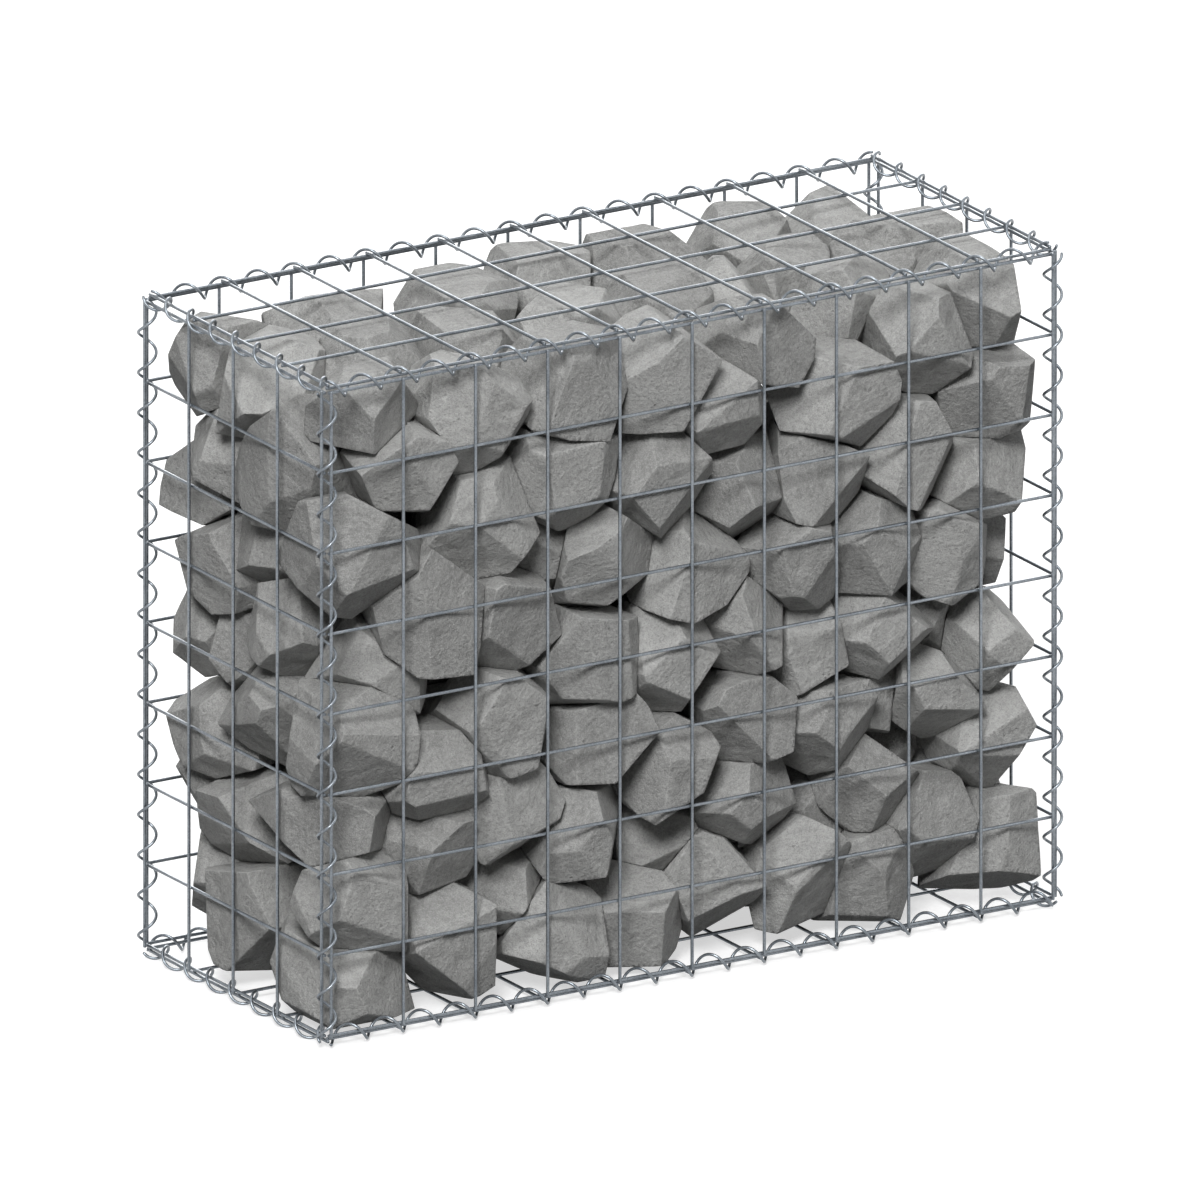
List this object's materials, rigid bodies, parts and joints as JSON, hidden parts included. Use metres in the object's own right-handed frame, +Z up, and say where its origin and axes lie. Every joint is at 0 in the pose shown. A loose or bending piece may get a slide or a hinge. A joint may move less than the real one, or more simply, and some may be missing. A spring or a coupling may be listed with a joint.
{
  "type": "gabion wall basket",
  "caption": "Welded wire mesh gabion basket, laced along its edges with spiral binders and filled with loose angular stones, standing as one bay of a retaining wall.",
  "frame": {"origin": "on the ground, below the middle of the basket", "axes": "+X along the length, to the right as seen from the front; +Y through the depth, to the back; +Z up"},
  "size_m": [1.0308, 0.4308, 0.8332],
  "materials": {
    "mesh_wire": "satin",
    "spiral_wire": "satin",
    "fill_stone": "matte"
  },
  "bodies": {
    "root": {"front_panel": "mesh_wire", "back_panel": "mesh_wire", "left_end_panel": "mesh_wire", "right_end_panel": "mesh_wire", "base_panel": "mesh_wire", "lid_panel": "mesh_wire", "top_front_spiral": "spiral_wire", "top_back_spiral": "spiral_wire", "bottom_front_spiral": "spiral_wire", "bottom_back_spiral": "spiral_wire", "top_left_spiral": "spiral_wire", "top_right_spiral": "spiral_wire", "bottom_left_spiral": "spiral_wire", "bottom_right_spiral": "spiral_wire", "front_left_post_spiral": "spiral_wire", "front_right_post_spiral": "spiral_wire", "back_left_post_spiral": "spiral_wire", "back_right_post_spiral": "spiral_wire", "stone_course_1": "fill_stone", "stone_course_2": "fill_stone", "stone_course_3": "fill_stone", "stone_course_4": "fill_stone", "stone_course_5": "fill_stone", "stone_course_6": "fill_stone", "stone_course_7": "fill_stone"}
  },
  "joints": []
}
